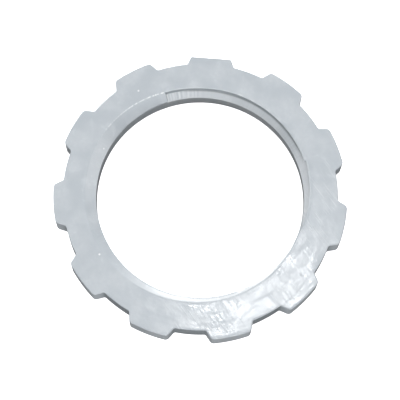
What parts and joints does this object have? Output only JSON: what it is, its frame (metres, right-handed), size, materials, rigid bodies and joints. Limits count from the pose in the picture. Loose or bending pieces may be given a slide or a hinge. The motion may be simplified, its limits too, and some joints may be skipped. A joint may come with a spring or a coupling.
{
  "type": "conduit lock ring",
  "caption": "Flat moulded plastic lock ring with a right-hand internal thread and square lugs round its rim.",
  "frame": {"origin": "on the thread axis, in the flat face that the ring lies on", "axes": "+Z along the thread axis, out of the face with the thread's blunt start; +Y through the lug with the trimmed gate"},
  "size_m": [0.026, 0.0255, 0.0024],
  "materials": {
    "ring_plastic": "pale blue-grey moulded plastic, slightly translucent, semi-gloss with faint wipe marks and small pits"
  },
  "bodies": {
    "root": {"lock_ring": "ring_plastic"}
  },
  "joints": []
}
